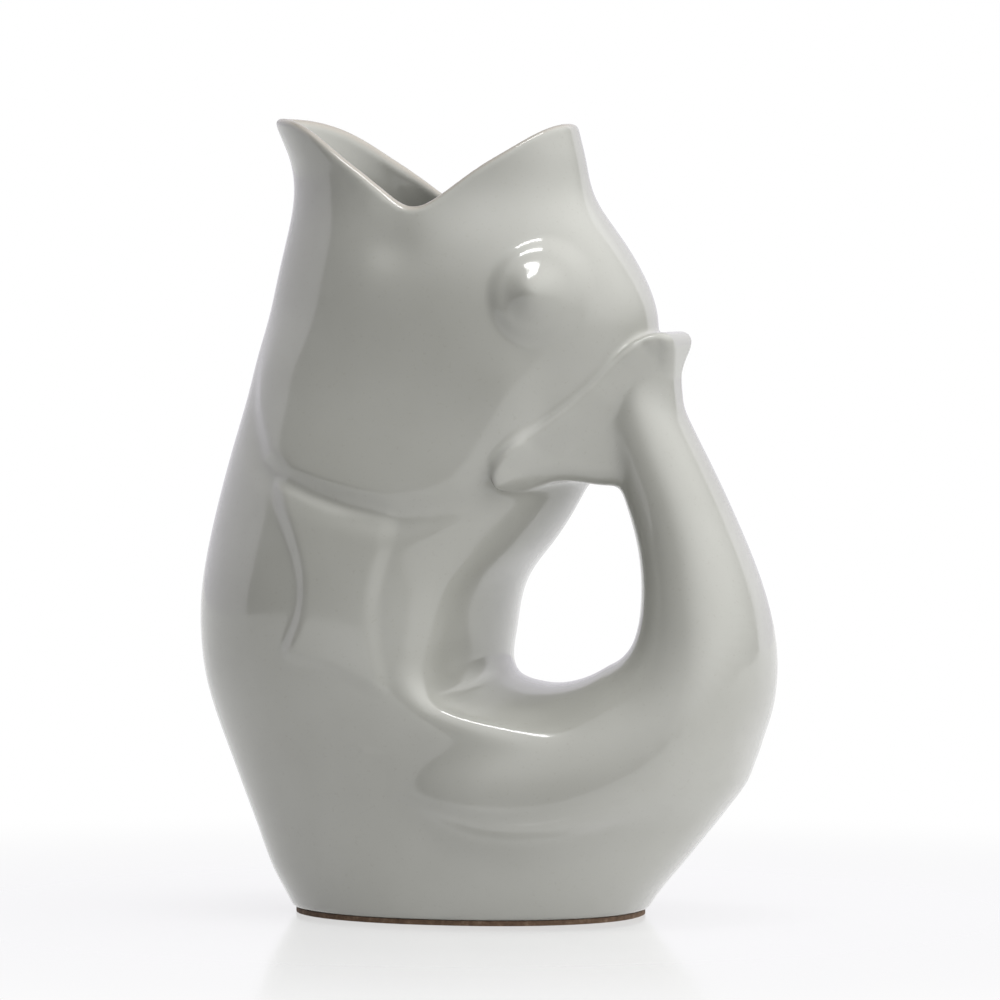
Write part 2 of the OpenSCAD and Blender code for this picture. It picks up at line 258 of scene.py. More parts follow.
# the body
def body_rows():
    """Of each row: its half width, how far along it a place is (1 at its ends), its power."""
    row = zs / ROW_H
    front, back = JUG_L * spline(FRONT, row), JUG_L * spline(BACK, row)
    half, widest = BELLY_W * spline(HALF, row), JUG_L * spline(WIDEST, row)
    square, blunt = spline(BACK_POWER, row), spline(FRONT_POWER, row)
    from_widest = X2 - widest
    ahead = 1 - rise(from_widest, -TURN_HALF, 2 * TURN_HALF)
    reach = ahead * (widest - front) + (1 - ahead) * (back - widest)
    power = ahead * LENGTH_POWER + (1 - ahead) * square
    across = ahead * blunt + (1 - ahead) * np.minimum(square, MOST_SIDE_POWER)
    return half, np.abs(from_widest / reach) ** power, across


def hole_wall():
    """Distance past the bulged wall that the finger hole cuts across the body."""
    wall_x = JUG_L * spline(HOLE_WALL, zs / ROW_H)
    wall_x = wall_x + HOLE_WALL_BULGE * (1 - (Y / HOLE_WALL_CORNER) ** 2)
    steep = np.sqrt(1 + np.gradient(wall_x[0], zs, axis=1) ** 2
                    + (2 * HOLE_WALL_BULGE * Y[0] / HOLE_WALL_CORNER ** 2) ** 2)
    return (X - wall_x) / steep


half, along, across = body_rows()
body = normalised(np.sqrt(slab(along) + (Y / half) ** slab(across)), 1.0)
body = smax(body, hole_wall(), HOLE_WALL_ROUND)


# the tail
def nearest_on_tail():
    """For each place in the plane y = 0, how far it is from the tail's centre line, positive
    towards the finger hole, and the row of the nearest place on the line."""
    last_row = len(TAIL) - 1
    rows = np.linspace(0, last_row, last_row * TAIL_STEPS + 1)
    line = spline(TAIL, rows)
    cx, cz = JUG_L * line[:, 0], TOTAL_H * line[:, 1]
    away = np.full(X2.shape, FAR)
    place = np.zeros(X2.shape)
    inner = np.zeros(X2.shape)
    for k in range(len(rows) - 1):
        dx, dz = cx[k + 1] - cx[k], cz[k + 1] - cz[k]
        s = np.clip(((X2 - cx[k]) * dx + (Z2 - cz[k]) * dz) / (dx * dx + dz * dz), 0, 1)
        d = np.hypot(X2 - cx[k] - s * dx, Z2 - cz[k] - s * dz)
        nearer = d < away
        inner = np.where(nearer, np.sign(dx * (Z2 - cz[k]) - dz * (X2 - cx[k])), inner)
        away = np.where(nearer, d, away)
        place = np.where(nearer, rows[k] + s * (rows[k + 1] - rows[k]), place)
    return away * inner, place


def tail_field():
    """Distance to the outside of the tail, and the tail's row at each place."""
    off, place = nearest_on_tail()
    thick = spline(TAIL, place)
    in_half, side_half = BELLY_W * thick[..., 2], BELLY_W * thick[..., 3]
    sag = spline(RING_SAG, place)
    off = off + sag
    off = off / np.where(off > 0, in_half + sag, sag - in_half)
    oval = slab(off) ** TAIL_POWER + (Y / slab(side_half)) ** TAIL_POWER
    return normalised(oval ** (1 / TAIL_POWER), TAIL_STEEPEST / slab(in_half)), place


tail, place = tail_field()


# the tail fin
def fin_reach(outline):
    """How far the fin reaches to the side: past the head, with a ridge and hollow faces."""
    first, last = outline[:, 0].min(), outline[:, 0].max()
    run = np.clip((X2 - first) / (last - first), 0, 1)
    head = half * np.clip(1 - along, 0, 1) ** (1 / across)
    from_ridge = polyline_distance(X2, Z2, FIN_RIDGE, False)
    ridge = RIDGE_H * np.exp(-(from_ridge / RIDGE_W) ** 2)
    hollow = HOLLOW_D * rise(from_ridge, HOLLOW_START, HOLLOW_RUN)
    return np.maximum(FIN_HALF * (1 - FIN_TAPER * run), head + FIN_PAST_HEAD) + ridge - hollow


def fin_field():
    """Distance to the tail fin: a plate with its outline, rounded off at its sides."""
    outline = closed_curve(TAIL_FIN, CURVE_STEPS) * (JUG_L, TOTAL_H)
    past_edge = slab(polyline_distance(X2, Z2, outline, True) + FIN_ROUND)
    past_side = Y - slab(fin_reach(outline)) + FIN_ROUND
    return (np.minimum(np.maximum(past_edge, past_side), 0)
            + np.hypot(np.maximum(past_edge, 0), np.maximum(past_side, 0)) - FIN_ROUND)


fin = fin_field()


# the reliefs on the flanks, as heights over the plane y = 0
def gill_cover():
    """The step of the gill cover with the groove at its foot."""
    distance = polyline_distance(X2, Z2, GILL, False)
    above = Z2 > np.interp(X2, [p[0] for p in GILL], [p[1] for p in GILL])
    signed = np.where(above, distance, -distance)
    fade = rise(X2, *GILL_FRONT) * (1 - rise(X2, *GILL_BACK)) * (1 - rise(Z2, *GILL_TOP))
    step = GILL_H * rise(signed, -GILL_EDGE, 2 * GILL_EDGE) \
        * np.exp(-(np.maximum(signed, 0) / GILL_BLEND) ** 2)
    groove = GROOVE_D * np.exp(-((signed + GROOVE_W) / GROOVE_W) ** 2)
    return step * fade - groove * fade


def side_fin_plate():
    """The plate of the side fin, which stands out more towards its front."""
    from_edge = polyline_distance(X2, Z2, closed_curve(SIDE_FIN, SIDE_FIN_STEPS), True)
    height = PLATE_H + PLATE_LIFT * np.clip((PLATE_BACK - X2) / PLATE_L, 0, 1)
    return height * fall(from_edge, *PLATE_EDGE)


def eye_radius(x, z):
    """Distance from the eye's middle; the eye is a little narrower than it is high."""
    return np.hypot((x - EYE[0]) * EYE_STRETCH, z - EYE[1])


def eye_boss():
    """The boss round the eye and the dome of the pupil on it."""
    r = eye_radius(X2, Z2)
    return BOSS_H * (1 - rise(r, *BOSS_EDGE)) + DOME_H * (1 - smoothstep(r / DOME_R))


def tail_fillet():
    """The fillet of the tail: wide on the belly's side, at the back and under the hole."""
    return FILLET + FILLET_BELLY * fall(X2, *BELLY_SIDE) * rise(Z2, *BELLY_LOW) \
        + FILLET_BACK * rise(X2, *BACK_SIDE) * (1 - rise(Z2, *BACK_LOW)) \
        + FILLET_HOLE * bump(HOLE_FOOT, HOLE_FOOT_SPREAD)


relief = gill_cover() + side_fin_plate() - CORNER_D * bump(MOUTH_CORNER, CORNER_SPREAD)
outer = smin(body, tail, slab(tail_fillet()))
outer = smin(outer, fin, FIN_FILLET)
outer = outer - slab(relief) * rise(Y / half, *FLANK) - slab(eye_boss()) * rise(Y / half, *EYE_FLANK)
outer = smax(outer, FOOT_H - Z, FOOT_ROUND)

# the inside: the body's hollow and the blind bore of the tail
cavity = smax(body + WALL, FLOOR_Z - Z, FLOOR_ROUND)
bore = smax(tail + WALL, slab(BORE_END_ROW_L * (place - BORE_END)), BORE_END_ROUND)
cavity = smin(cavity, bore, BORE_FILLET)


# the rim
def rim_height(x):
    return TOTAL_H * spline(RIM, (x / JUG_L - RIM_START) / RIM_STEP)


def above_rim():
    """Distance above the rim's line, in the plane y = 0."""
    rim = rim_height(xs)
    slope = np.gradient(rim, xs)
    return (zs[None, :] - rim[:, None]) / np.sqrt(1 + slope[:, None] ** 2)


over = slab(above_rim())
lip = np.hypot(body + WALL / 2, over + WALL / 2) - WALL / 2
solid = np.where(over + WALL / 2 > 0, lip, np.maximum(outer, -cavity))


def whole(f):
    """The field of the whole jug from the half that was worked out."""
    f = np.broadcast_to(f, (len(xs), len(ys), len(zs)))
    return np.ascontiguousarray(np.concatenate([f[:, :1:-1], f[:, 1:]], axis=1), np.float32)


origin = np.array([xs[0], -(len(ys) - 2) * STEP, zs[0]])
solid, body, tail, fin = whole(solid), whole(body), whole(tail), whole(fin)


# field to mesh
def weights(u):
    """Weights of the four steering values round a place, and their slopes."""
    return (np.stack([(1 - u) ** 3, 3 * u ** 3 - 6 * u ** 2 + 4,
                      -3 * u ** 3 + 3 * u ** 2 + 3 * u + 1, u ** 3], -1) / 6,
            np.stack([-(1 - u) ** 2, 3 * u ** 2 - 4 * u,
                      -3 * u ** 2 + 2 * u + 1, u ** 2], -1) / 2)


def sample(f, p, gradient=True):
    """Value and gradient of the smooth field that the grid f steers, at points p in mm."""
    g = (p - origin) / STEP
    i = np.clip(np.floor(g).astype(int), 1, np.array(f.shape) - 3)
    u = g - i
    wx, dx = weights(u[:, 0])
    wy, dy = weights(u[:, 1])
    wz, dz = weights(u[:, 2])
    flat = f.ravel()
    ny, nz = f.shape[1:]
    base = ((i[:, 0] - 1) * ny + i[:, 1] - 1) * nz + i[:, 2] - 1
    value = np.zeros(len(p))
    grad = np.zeros((len(p), 3))
    for a in range(4):
        for b in range(4):
            start = base + (a * ny + b) * nz
            c = np.stack([flat[start + k] for k in range(4)], -1)
            along_z = (c * wz).sum(-1)
            value += wx[:, a] * wy[:, b] * along_z
            if gradient:
                grad[:, 0] += dx[:, a] * wy[:, b] * along_z
                grad[:, 1] += wx[:, a] * dy[:, b] * along_z
                grad[:, 2] += wx[:, a] * wy[:, b] * (c * dz).sum(-1)
    return value, grad / STEP


CORNERS = [(a, b, c) for a in (0, 1) for b in (0, 1) for c in (0, 1)]


def net_points(f, cells):
    """In each cell, the mean of the places where the surface crosses the cell's edges."""
    v = np.stack([f[cells[:, 0] + a, cells[:, 1] + b, cells[:, 2] + c]
                  for a, b, c in CORNERS], -1)
    total, hits = np.zeros((len(cells), 3)), np.zeros(len(cells))
    for i, p in enumerate(CORNERS):
        for j, q in enumerate(CORNERS):
            if j > i and sum(abs(p[k] - q[k]) for k in range(3)) == 1:
                crossed = (v[:, i] < 0) != (v[:, j] < 0)
                t = np.where(crossed, v[:, i] / np.where(crossed, v[:, i] - v[:, j], 1), 0)
                at = np.array(p) + t[:, None] * (np.array(q) - np.array(p))
                total += at * crossed[:, None]
                hits += crossed
    return origin + STEP * (cells + total / hits[:, None])


def net_quads(inside, index, axis):
    """A quad round each grid edge along an axis that the surface crosses, wound outwards."""
    n = index.shape
    o1, o2 = [k for k in range(3) if k != axis]
    lo = [slice(None)] * 3
    hi = [slice(None)] * 3
    lo[axis], hi[axis] = slice(None, -1), slice(1, None)
    flip = np.argwhere(inside[tuple(lo)] != inside[tuple(hi)])
    flip = flip[(flip[:, o1] > 0) & (flip[:, o2] > 0)
                & (flip[:, o1] < n[o1]) & (flip[:, o2] < n[o2])]
    ring = []
    for a, b in ((-1, -1), (0, -1), (0, 0), (-1, 0)):
        cell = flip.copy()
        cell[:, o1] += a
        cell[:, o2] += b
        ring.append(index[tuple(cell.T)])
    ring = np.stack(ring, -1)
    inside_first = inside[tuple(flip.T)]
    turn = inside_first if axis != 1 else ~inside_first
    return np.where(turn[:, None], ring, ring[:, ::-1])


def surface_net(f):
    """Points and quads of the zero surface of a grid of values."""
    inside = f < 0
    n = np.array(f.shape) - 1
    count = np.zeros(n, np.int8)
    for a, b, c in CORNERS:
        count += inside[a:a + n[0], b:b + n[1], c:c + n[2]]
    cells = np.argwhere((count > 0) & (count < len(CORNERS)))
    index = -np.ones(n, np.int64)
    index[tuple(cells.T)] = np.arange(len(cells))
    return net_points(f, cells), np.concatenate([net_quads(inside, index, k) for k in range(3)])


SETTLE_TIMES, LONGEST_MOVE, LEAST_SLOPE = 3, 0.6 * STEP, 0.05


def settle(points):
    """Moves the points on to the zero surface and gives the surface's normals there."""
    for _ in range(SETTLE_TIMES):
        value, grad = sample(solid, points)
        size = np.maximum((grad ** 2).sum(1), LEAST_SLOPE)
        move = -(value / size)[:, None] * grad
        length = np.linalg.norm(move, axis=1, keepdims=True)
        points += move * np.minimum(1, LONGEST_MOVE / np.maximum(length, 1 / FAR))
    value, grad = sample(solid, points)
    print("skin:", len(points), "points, furthest off", np.abs(value).max())
    return grad / np.linalg.norm(grad, axis=1, keepdims=True)


points, quads = surface_net(solid)
normals = settle(points)

# split at the seams
SIDE_FIN_FROM, EYE_FROM = 20, 12  # the pieces on the flanks lie further out than this
FAR_IN = -20.0
SNAP = 0.10 * STEP  # points this near to a seam are taken to lie on it
FIRST_LEVEL = 6  # in the table, a point has its place, its normal and then its levels

# pieces let into the wall, each closed by a sheet at the same place as the body's
LENSES = ["left_pectoral_fin", "right_pectoral_fin", "left_eye", "right_eye"]


def seam_levels():
    """For each piece but the body, a level that is positive where the skin is that piece's."""
    to_body, to_tail, to_fin = (sample(f, points, False)[0] for f in (body, tail, fin))
    x, y, z = points.T
    column = np.clip(((points[:, [0, 2]] - (xs[0], zs[0])) / STEP).round().astype(int), 0,
                     np.array([len(xs), len(zs)]) - 1)
    row = place[column[:, 0], column[:, 1]]
    outside = np.minimum(to_body, np.minimum(to_tail, to_fin)) > -WALL / 2
    side_fin = -polyline_distance(x, z, closed_curve(SIDE_FIN, SIDE_FIN_STEPS), True)
    eye = EYE_SEAM - eye_radius(x, z)
    handle = np.minimum(np.minimum(to_body, to_fin) - to_tail,
                        TAIL_SEAM_ROW_L * (row - TAIL_SEAM))
    return {
        "left_pectoral_fin": np.where(outside & (y < -SIDE_FIN_FROM), side_fin, FAR_IN),
        "right_pectoral_fin": np.where(outside & (y > SIDE_FIN_FROM), side_fin, FAR_IN),
        "left_eye": np.where(outside & (y < -EYE_FROM), eye, FAR_IN),
        "right_eye": np.where(outside & (y > EYE_FROM), eye, FAR_IN),
        "tail_fin": np.where(outside, np.minimum(to_body, to_tail) - to_fin, FAR_IN),
        "tail_handle": np.where(outside, handle, FAR_IN),
    }


def split(tri, sign, middle):
    """The two or three triangles that a triangle falls into along the zero line."""
    s = [sign[i] for i in tri]
    if 0 in s:
        k = s.index(0)
        a, b, c = tri[k], tri[(k + 1) % 3], tri[(k + 2) % 3]
        mid = middle(b, c)
        return [(a, b, mid), (a, mid, c)]
    k = next(i for i in range(3) if s[i] != s[(i + 1) % 3] and s[i] != s[(i + 2) % 3])
    a, b, c = tri[k], tri[(k + 1) % 3], tri[(k + 2) % 3]
    ab, ac = middle(a, b), middle(a, c)
    return [(a, ab, ac), (ab, b, c), (ab, c, ac)]


def cut(table, quads, tris, column):
    """Splits the faces along the zero line of a column of the table."""
    sign = np.sign(table[:, column])
    edges = {}
    fresh = []

    def mixed(faces):
        return (sign[faces].max(1) > 0) & (sign[faces].min(1) < 0)

    def middle(a, b):
        key = (a, b) if a < b else (b, a)
        if key not in edges:
            la, lb = table[key[0], column], table[key[1], column]
            t = la / (la - lb)
            new = table[key[0]] * (1 - t) + table[key[1]] * t
            new[column] = 0
            edges[key] = len(table) + len(fresh)
            fresh.append(new)
        return edges[key]

    m = mixed(quads)
    tris = np.concatenate([tris, quads[m][:, [0, 1, 2]], quads[m][:, [0, 2, 3]]])
    quads = quads[~m]
    m = mixed(tris)
    made = [new for tri in tris[m].tolist() for new in split(tri, sign, middle)]
    tris = np.concatenate([tris[~m], np.array(made, int).reshape(-1, 3)])
    return np.concatenate([table, np.array(fresh).reshape(-1, table.shape[1])]), quads, tris


def owner(faces):
    """Number of the piece that each face belongs to; the body is the last."""
    who = np.full(len(faces), len(names))
    for k in range(len(names) - 1, -1, -1):
        level = table[faces][:, :, FIRST_LEVEL + k]
        mine = (level.min(1) >= 0) & (level.max(1) > 0)
        who[mine] = k
    return who


levels = seam_levels()
names = list(levels)
table = np.column_stack([points, normals] + [levels[k] for k in names])
table[:, FIRST_LEVEL:][np.abs(table[:, FIRST_LEVEL:]) < SNAP] = 0
tris = np.zeros((0, 3), int)
for k in range(len(names)):
    table, quads, tris = cut(table, quads, tris, FIRST_LEVEL + k)
quad_owner, tri_owner = owner(quads), owner(tris)
points = table[:, :3].copy()
normals = table[:, 3:6] / np.linalg.norm(table[:, 3:6], axis=1, keepdims=True)

# close each piece
LENS_DEPTH, LENS_EDGE, LENS_GAP = 1.6, 5.0, 0.02
CAP_RINGS, CAP_SETTLES, CAP_LEAST_SLOPE = 8, 6, 0.2
CAP_ON_HEAD_FROM = 110  # above this height the body is closed under the tail fin, on the head
extra_points, extra_normals = [], []


def faces_of(k):
    return quads[quad_owner == k].tolist() + tris[tri_owner == k].tolist()


def add_point(p, n):
    extra_points.append(p)
    extra_normals.append(n)
    return len(points) + len(extra_points) - 1


def loops_of(faces):
    """Closed loops of the edges that only one face uses, running along those faces."""
    edges = {}
    for f in faces:
        for a, b in zip(f, f[1:] + f[:1]):
            edges[(a, b)] = True
    following = {}
    for a, b in edges:
        if (b, a) not in edges:
            following.setdefault(a, []).append(b)
    loops = []
    while following:
        start = next(iter(following))
        loop, at = [start], following[start].pop()
        if not following[start]:
            del following[start]
        while at != start:
            loop.append(at)
            step = following[at].pop()
            if not following[at]:
                del following[at]
            at = step
        loops.append(loop)
    return loops


def sunk_sheet(mine, k):
    """The faces of a piece let into the wall: at its seam they stay, further in they sink."""
    deep = {}
    for i in {i for f in mine for i in f}:
        level = table[i, FIRST_LEVEL + k]
        if level > 0:
            sink = LENS_DEPTH * min(1.0, level / LENS_EDGE) + LENS_GAP
            deep[i] = add_point(points[i] - normals[i] * sink, normals[i])
    return [[deep.get(i, i) for i in f] for f in mine]


def cap(loop, on_body):
    """Closes a loop with rings that shrink to its middle; on_body lays them on the head."""
    ring = points[loop]
    centre = ring.mean(0)
    sizes = [1 - (j + 1) / (CAP_RINGS + 1) for j in range(CAP_RINGS)]
    cloud = np.concatenate([centre + (ring - centre) * s for s in sizes] + [centre[None]])
    if on_body:
        for _ in range(CAP_SETTLES):
            value, grad = sample(body, cloud)
            size = np.maximum((grad ** 2).sum(1), CAP_LEAST_SLOPE)
            cloud = cloud - (value / size)[:, None] * grad
    ids = [add_point(p, np.array([0.0, 0.0, 1.0])) for p in cloud]
    n = len(loop)
    rows = [list(loop)] + [ids[j * n:(j + 1) * n] for j in range(CAP_RINGS)]
    made = []
    for a, b in zip(rows, rows[1:]):
        made += [[a[(i + 1) % n], a[i], b[i], b[(i + 1) % n]] for i in range(n)]
    return made + [[rows[-1][(i + 1) % n], rows[-1][i], ids[-1]] for i in range(n)]


def closed_pieces():
    """The faces of every piece, each a closed skin."""
    faces = {}
    body_faces = faces_of(len(names))
    for name in LENSES:
        mine = faces_of(names.index(name))
        sheet = sunk_sheet(mine, names.index(name))
        faces[name] = mine + [f[::-1] for f in sheet]
        body_faces += sheet
    for name in ("tail_fin", "tail_handle"):
        mine = faces_of(names.index(name))
        faces[name] = mine + [f for loop in loops_of(mine) for f in cap(loop, False)]
    for loop in loops_of(body_faces):
        body_faces = body_faces + cap(loop, points[loop][:, 2].mean() > CAP_ON_HEAD_FROM)
    faces["body"] = body_faces
    return faces


# pieces
LIP_SHADE_FROM, LIP_SHADE_RUN = -2.6, 2.2  # against the rim's line, where the painted shade on the lip starts


def build(name, pts, nrm, lip_shade, faces):
    """A Blender mesh object from points in mm, their normals and faces."""
    used = sorted({i for f in faces for i in f})
    renumber = {old: new for new, old in enumerate(used)}
    mesh = bpy.data.meshes.new(name)
    mesh.from_pydata((pts[used] * MM).tolist(), [], [[renumber[i] for i in f] for f in faces])
    mesh.polygons.foreach_set("use_smooth", np.ones(len(mesh.polygons), bool))
    mesh.normals_split_custom_set_from_vertices(nrm[used].tolist())
    # the mask of the painted shade along the lip
    mask = mesh.attributes.new("painted_lip_shade", "FLOAT", "POINT")
    mask.data.foreach_set("value", lip_shade[used].astype(np.float32))
    obj = bpy.data.objects.new(name, mesh)
    bpy.context.scene.collection.objects.link(obj)
    return obj


pieces = {}
piece_faces = closed_pieces()
all_points = np.concatenate([points, np.array(extra_points).reshape(-1, 3)])
all_normals = np.concatenate([normals, np.array(extra_normals).reshape(-1, 3)])
# painted shade: the lip gets a brownish darker colour for the shadow line along the rim
lip_shade = rise(all_points[:, 2] - rim_height(all_points[:, 0]), LIP_SHADE_FROM, LIP_SHADE_RUN)
for name, mine in piece_faces.items():
    obj = build("glazed_" + name, all_points, all_normals, lip_shade, mine)
    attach(obj, "root")
    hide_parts(name)
    pieces[name] = obj


# nodes
def add(tree, kind, inputs=None, **settings):
    """A shader node with its settings; each input is a value or another node's output."""
    node = tree.nodes.new("ShaderNode" + kind)
    for name, value in settings.items():
        setattr(node, name, value)
    for name, value in (inputs or {}).items():
        if isinstance(value, bpy.types.NodeSocket):
            tree.links.new(value, node.inputs[name])
        else:
            node.inputs[name].default_value = value
    return node


def math_node(tree, kind, a, b):
    return add(tree, "Math", {0: a, 1: b}, operation=kind).outputs[0]


def smooth_range(tree, value, start, end, low, high):
    """low up to start, high from end on, smooth between them."""
    inputs = {"Value": value, "From Min": start, "From Max": end, "To Min": low, "To Max": high}
    return add(tree, "MapRange", inputs, interpolation_type="SMOOTHSTEP").outputs[0]


def noise(tree, scale, detail, rough=0.5):
    where = add(tree, "TexCoord").outputs["Object"]
    inputs = {"Scale": scale, "Detail": detail, "Roughness": rough, "Vector": where}
    return add(tree, "TexNoise", inputs).outputs[0]


def ramp(tree, source, stops):
    """Colours along a value, from a list of places and colours."""
    node = add(tree, "ValToRGB", {0: source})
    while len(node.color_ramp.elements) < len(stops):
        node.color_ramp.elements.new(0.5)
    for element, (position, colour) in zip(node.color_ramp.elements, stops):
        element.position = position
        element.color = (*colour, 1)
    return node.outputs[0]


def bumps(tree, height, strength, distance):
    inputs = {"Height": height, "Strength": strength, "Distance": distance}
    return add(tree, "Bump", inputs).outputs[0]


def empty_material(name):
    mat = bpy.data.materials.new(name)
    mat.use_nodes = True
    mat.node_tree.nodes.clear()
    return mat, mat.node_tree


# the glaze: colours are linear, noises are counted per metre
GLAZE_DARK, GLAZE_PALE = (0.395, 0.394, 0.360), (0.436, 0.436, 0.404)
SPECK_DARK, SPECK_EDGE, NO_SPECK = (0.93, 0.92, 0.90), (0.96, 0.955, 0.945), (1, 1, 1)
# painted shade: the brownish darker colour laid on the lip for the shadow line along the rim, and
# the most of it that is mixed in
LIP_SHADE_BROWN, LIP_SHADE_MOST = (0.36, 0.32, 0.27, 1), (0.75, 0.75, 0.75)
CLOUDS, SPECKS, SHEEN, RIPPLES = (22, 3), (900, 2), (60, 2), (70, 2)
ROUGH_LEAST, ROUGH_MOST = 0.10, 0.17
RIPPLE_STRENGTH, RIPPLE_H = 0.12, 0.0004


def glaze_colour(tree):
    """Soft clouds with fine darker specks, and on the lip a brownish painted shade for the shadow
    line along the rim.
    """
    tone = ramp(tree, noise(tree, *CLOUDS), [(0.30, GLAZE_DARK), (0.70, GLAZE_PALE)])
    specks = ramp(tree, noise(tree, *SPECKS),
                  [(0.0, SPECK_DARK), (0.30, SPECK_EDGE), (0.36, NO_SPECK)])
    speckled = add(tree, "Mix", {"Factor": 1, "A": tone, "B": specks},
                   data_type="RGBA", blend_type="MULTIPLY").outputs["Result"]
    # the mask of the painted shade on the lip
    lip = add(tree, "Attribute", attribute_name="painted_lip_shade").outputs["Fac"]
    share = ramp(tree, lip, [(0.2, (0, 0, 0)), (1.0, LIP_SHADE_MOST)])
    return add(tree, "Mix", {"Factor": share, "A": speckled, "B": LIP_SHADE_BROWN},
               data_type="RGBA").outputs["Result"]


def glaze_material():
    mat, tree = empty_material("celadon_grey_glaze")
    rough = add(tree, "MapRange", {"Value": noise(tree, *SHEEN), "To Min": ROUGH_LEAST,
                                   "To Max": ROUGH_MOST}).outputs[0]
    bsdf = add(tree, "BsdfPrincipled", {
        "Base Color": glaze_colour(tree),
        "Roughness": rough,
        "IOR": 1.52,
        "Coat Weight": 0.35,
        "Coat Roughness": 0.04,
        "Normal": bumps(tree, noise(tree, *RIPPLES), RIPPLE_STRENGTH, RIPPLE_H),
    })
    add(tree, "OutputMaterial", {0: bsdf.outputs[0]})
    return mat


# the bare clay of the foot
CLAY_DARK, CLAY_MID, CLAY_PALE = (0.085, 0.050, 0.030), (0.150, 0.092, 0.056), (0.240, 0.165, 0.110)
GRAIN, GRAIN_STRENGTH, GRAIN_H = (420, 5, 0.65), 0.5, 0.0003


def clay_material():
    mat, tree = empty_material("bare_stoneware")
    grain = noise(tree, *GRAIN)
    bsdf = add(tree, "BsdfPrincipled", {
        "Base Color": ramp(tree, grain, [(0.32, CLAY_DARK), (0.55, CLAY_MID), (0.72, CLAY_PALE)]),
        "Roughness": 0.85,
        "Normal": bumps(tree, grain, GRAIN_STRENGTH, GRAIN_H),
    })
    add(tree, "OutputMaterial", {0: bsdf.outputs[0]})
    return mat


glaze, clay = glaze_material(), clay_material()
for obj in pieces.values():
    obj.data.materials.append(glaze)
foot_ring = frame["nodes"]["foot_ring"]
foot_ring.data.materials.clear()
foot_ring.data.materials.append(clay)

# stage, in metres: directions as the camera sees the jug
CAMERA_TURN = math.radians(17)
BEHIND = Vector((-math.sin(CAMERA_TURN), math.cos(CAMERA_TURN), 0))
RIGHT = Vector((math.cos(CAMERA_TURN), math.sin(CAMERA_TURN), 0))
SWING = math.radians(18)  # the backdrop reaches further round on the left
BACKDROP_AXIS = (math.cos(SWING) * BEHIND - math.sin(SWING) * RIGHT).normalized()
SIDE = (RIGHT - 0.10 * BEHIND + Vector((0, 0, 0.25))).normalized()
KEY = (0.45 * RIGHT - 0.25 * BEHIND + Vector((0, 0, 0.85))).normalized()

# strengths, and cosines between which each light comes up to its strength
ABOVE, KEY_LIGHT, SIDE_LIGHT, BACKDROP, BACK_FILL = 0.35, 1.59, 0.41, 0.85, 1.0
ABOVE_SPREAD, KEY_SPREAD, SIDE_SPREAD = (0.35, 1.0), (0.28, 0.98), (0.28, 0.98)
BACKDROP_EDGE, BACKDROP_TOP = (0.355, 0.395), (-0.75, -0.45)
BACKDROP_COLOUR, WHITE = (0.96, 0.94, 1.0, 1), (1, 1, 1, 1)

# the table: its glow and its grey change with the distance from the jug, and each is given as
# where the change starts, where it ends, the value near the jug and the value far off
TABLE_HALF = 6
TABLE_MIRROR, TABLE_ROUGH = 0.68, 0.10
TABLE_GLOW = (0.10, 0.40, 0.58, 1.0)  # how white it glows for the camera
TABLE_GREY = (0.12, 0.45, 0.75, 0.10)  # its colour where light falls on it
TABLE_IN_GLAZE = 0.9  # how white it glows in the glaze's mirror images


def seen_ray(tree):
    """1 for rays from the camera, and 1 for rays off shiny things and through clear ones."""
    path = add(tree, "LightPath")
    shiny = math_node(tree, "MAXIMUM", path.outputs["Is Glossy Ray"],
                      path.outputs["Is Transmission Ray"])
    return path.outputs["Is Camera Ray"], shiny


def table_material():
    """White far off; near the jug it shows the jug's shadow and its mirror image."""
    mat, tree = empty_material("white_table")
    where = add(tree, "TexCoord").outputs["Object"]
    far = add(tree, "VectorMath", {0: where}, operation="LENGTH").outputs["Value"]
    diffuse = add(tree, "BsdfDiffuse", {"Color": smooth_range(tree, far, *TABLE_GREY)})
    mirror = add(tree, "BsdfGlossy", {"Color": WHITE, "Roughness": TABLE_ROUGH})
    surface = add(tree, "MixShader", {0: TABLE_MIRROR, 1: diffuse.outputs[0],
                                      2: mirror.outputs[0]})
    white = add(tree, "Emission", {"Color": WHITE})
    camera_ray, shiny_ray = seen_ray(tree)
    for_camera = math_node(tree, "MULTIPLY", camera_ray, smooth_range(tree, far, *TABLE_GLOW))
    for_glaze = math_node(tree, "MULTIPLY", shiny_ray, TABLE_IN_GLAZE)
    share = math_node(tree, "MAXIMUM", for_camera, for_glaze)
    mix = add(tree, "MixShader", {0: share, 1: surface.outputs[0], 2: white.outputs[0]})
    add(tree, "OutputMaterial", {0: mix.outputs[0]})
    return mat


def floor():
    mesh = bpy.data.meshes.new("floor")
    corners = [(x * TABLE_HALF, y * TABLE_HALF, 0) for x, y in ((-1, -1), (1, -1), (1, 1), (-1, 1))]
    mesh.from_pydata(corners, [], [(0, 1, 2, 3)])
    obj = bpy.data.objects.new("floor", mesh)
    bpy.context.scene.collection.objects.link(obj)
    mesh.materials.append(table_material())


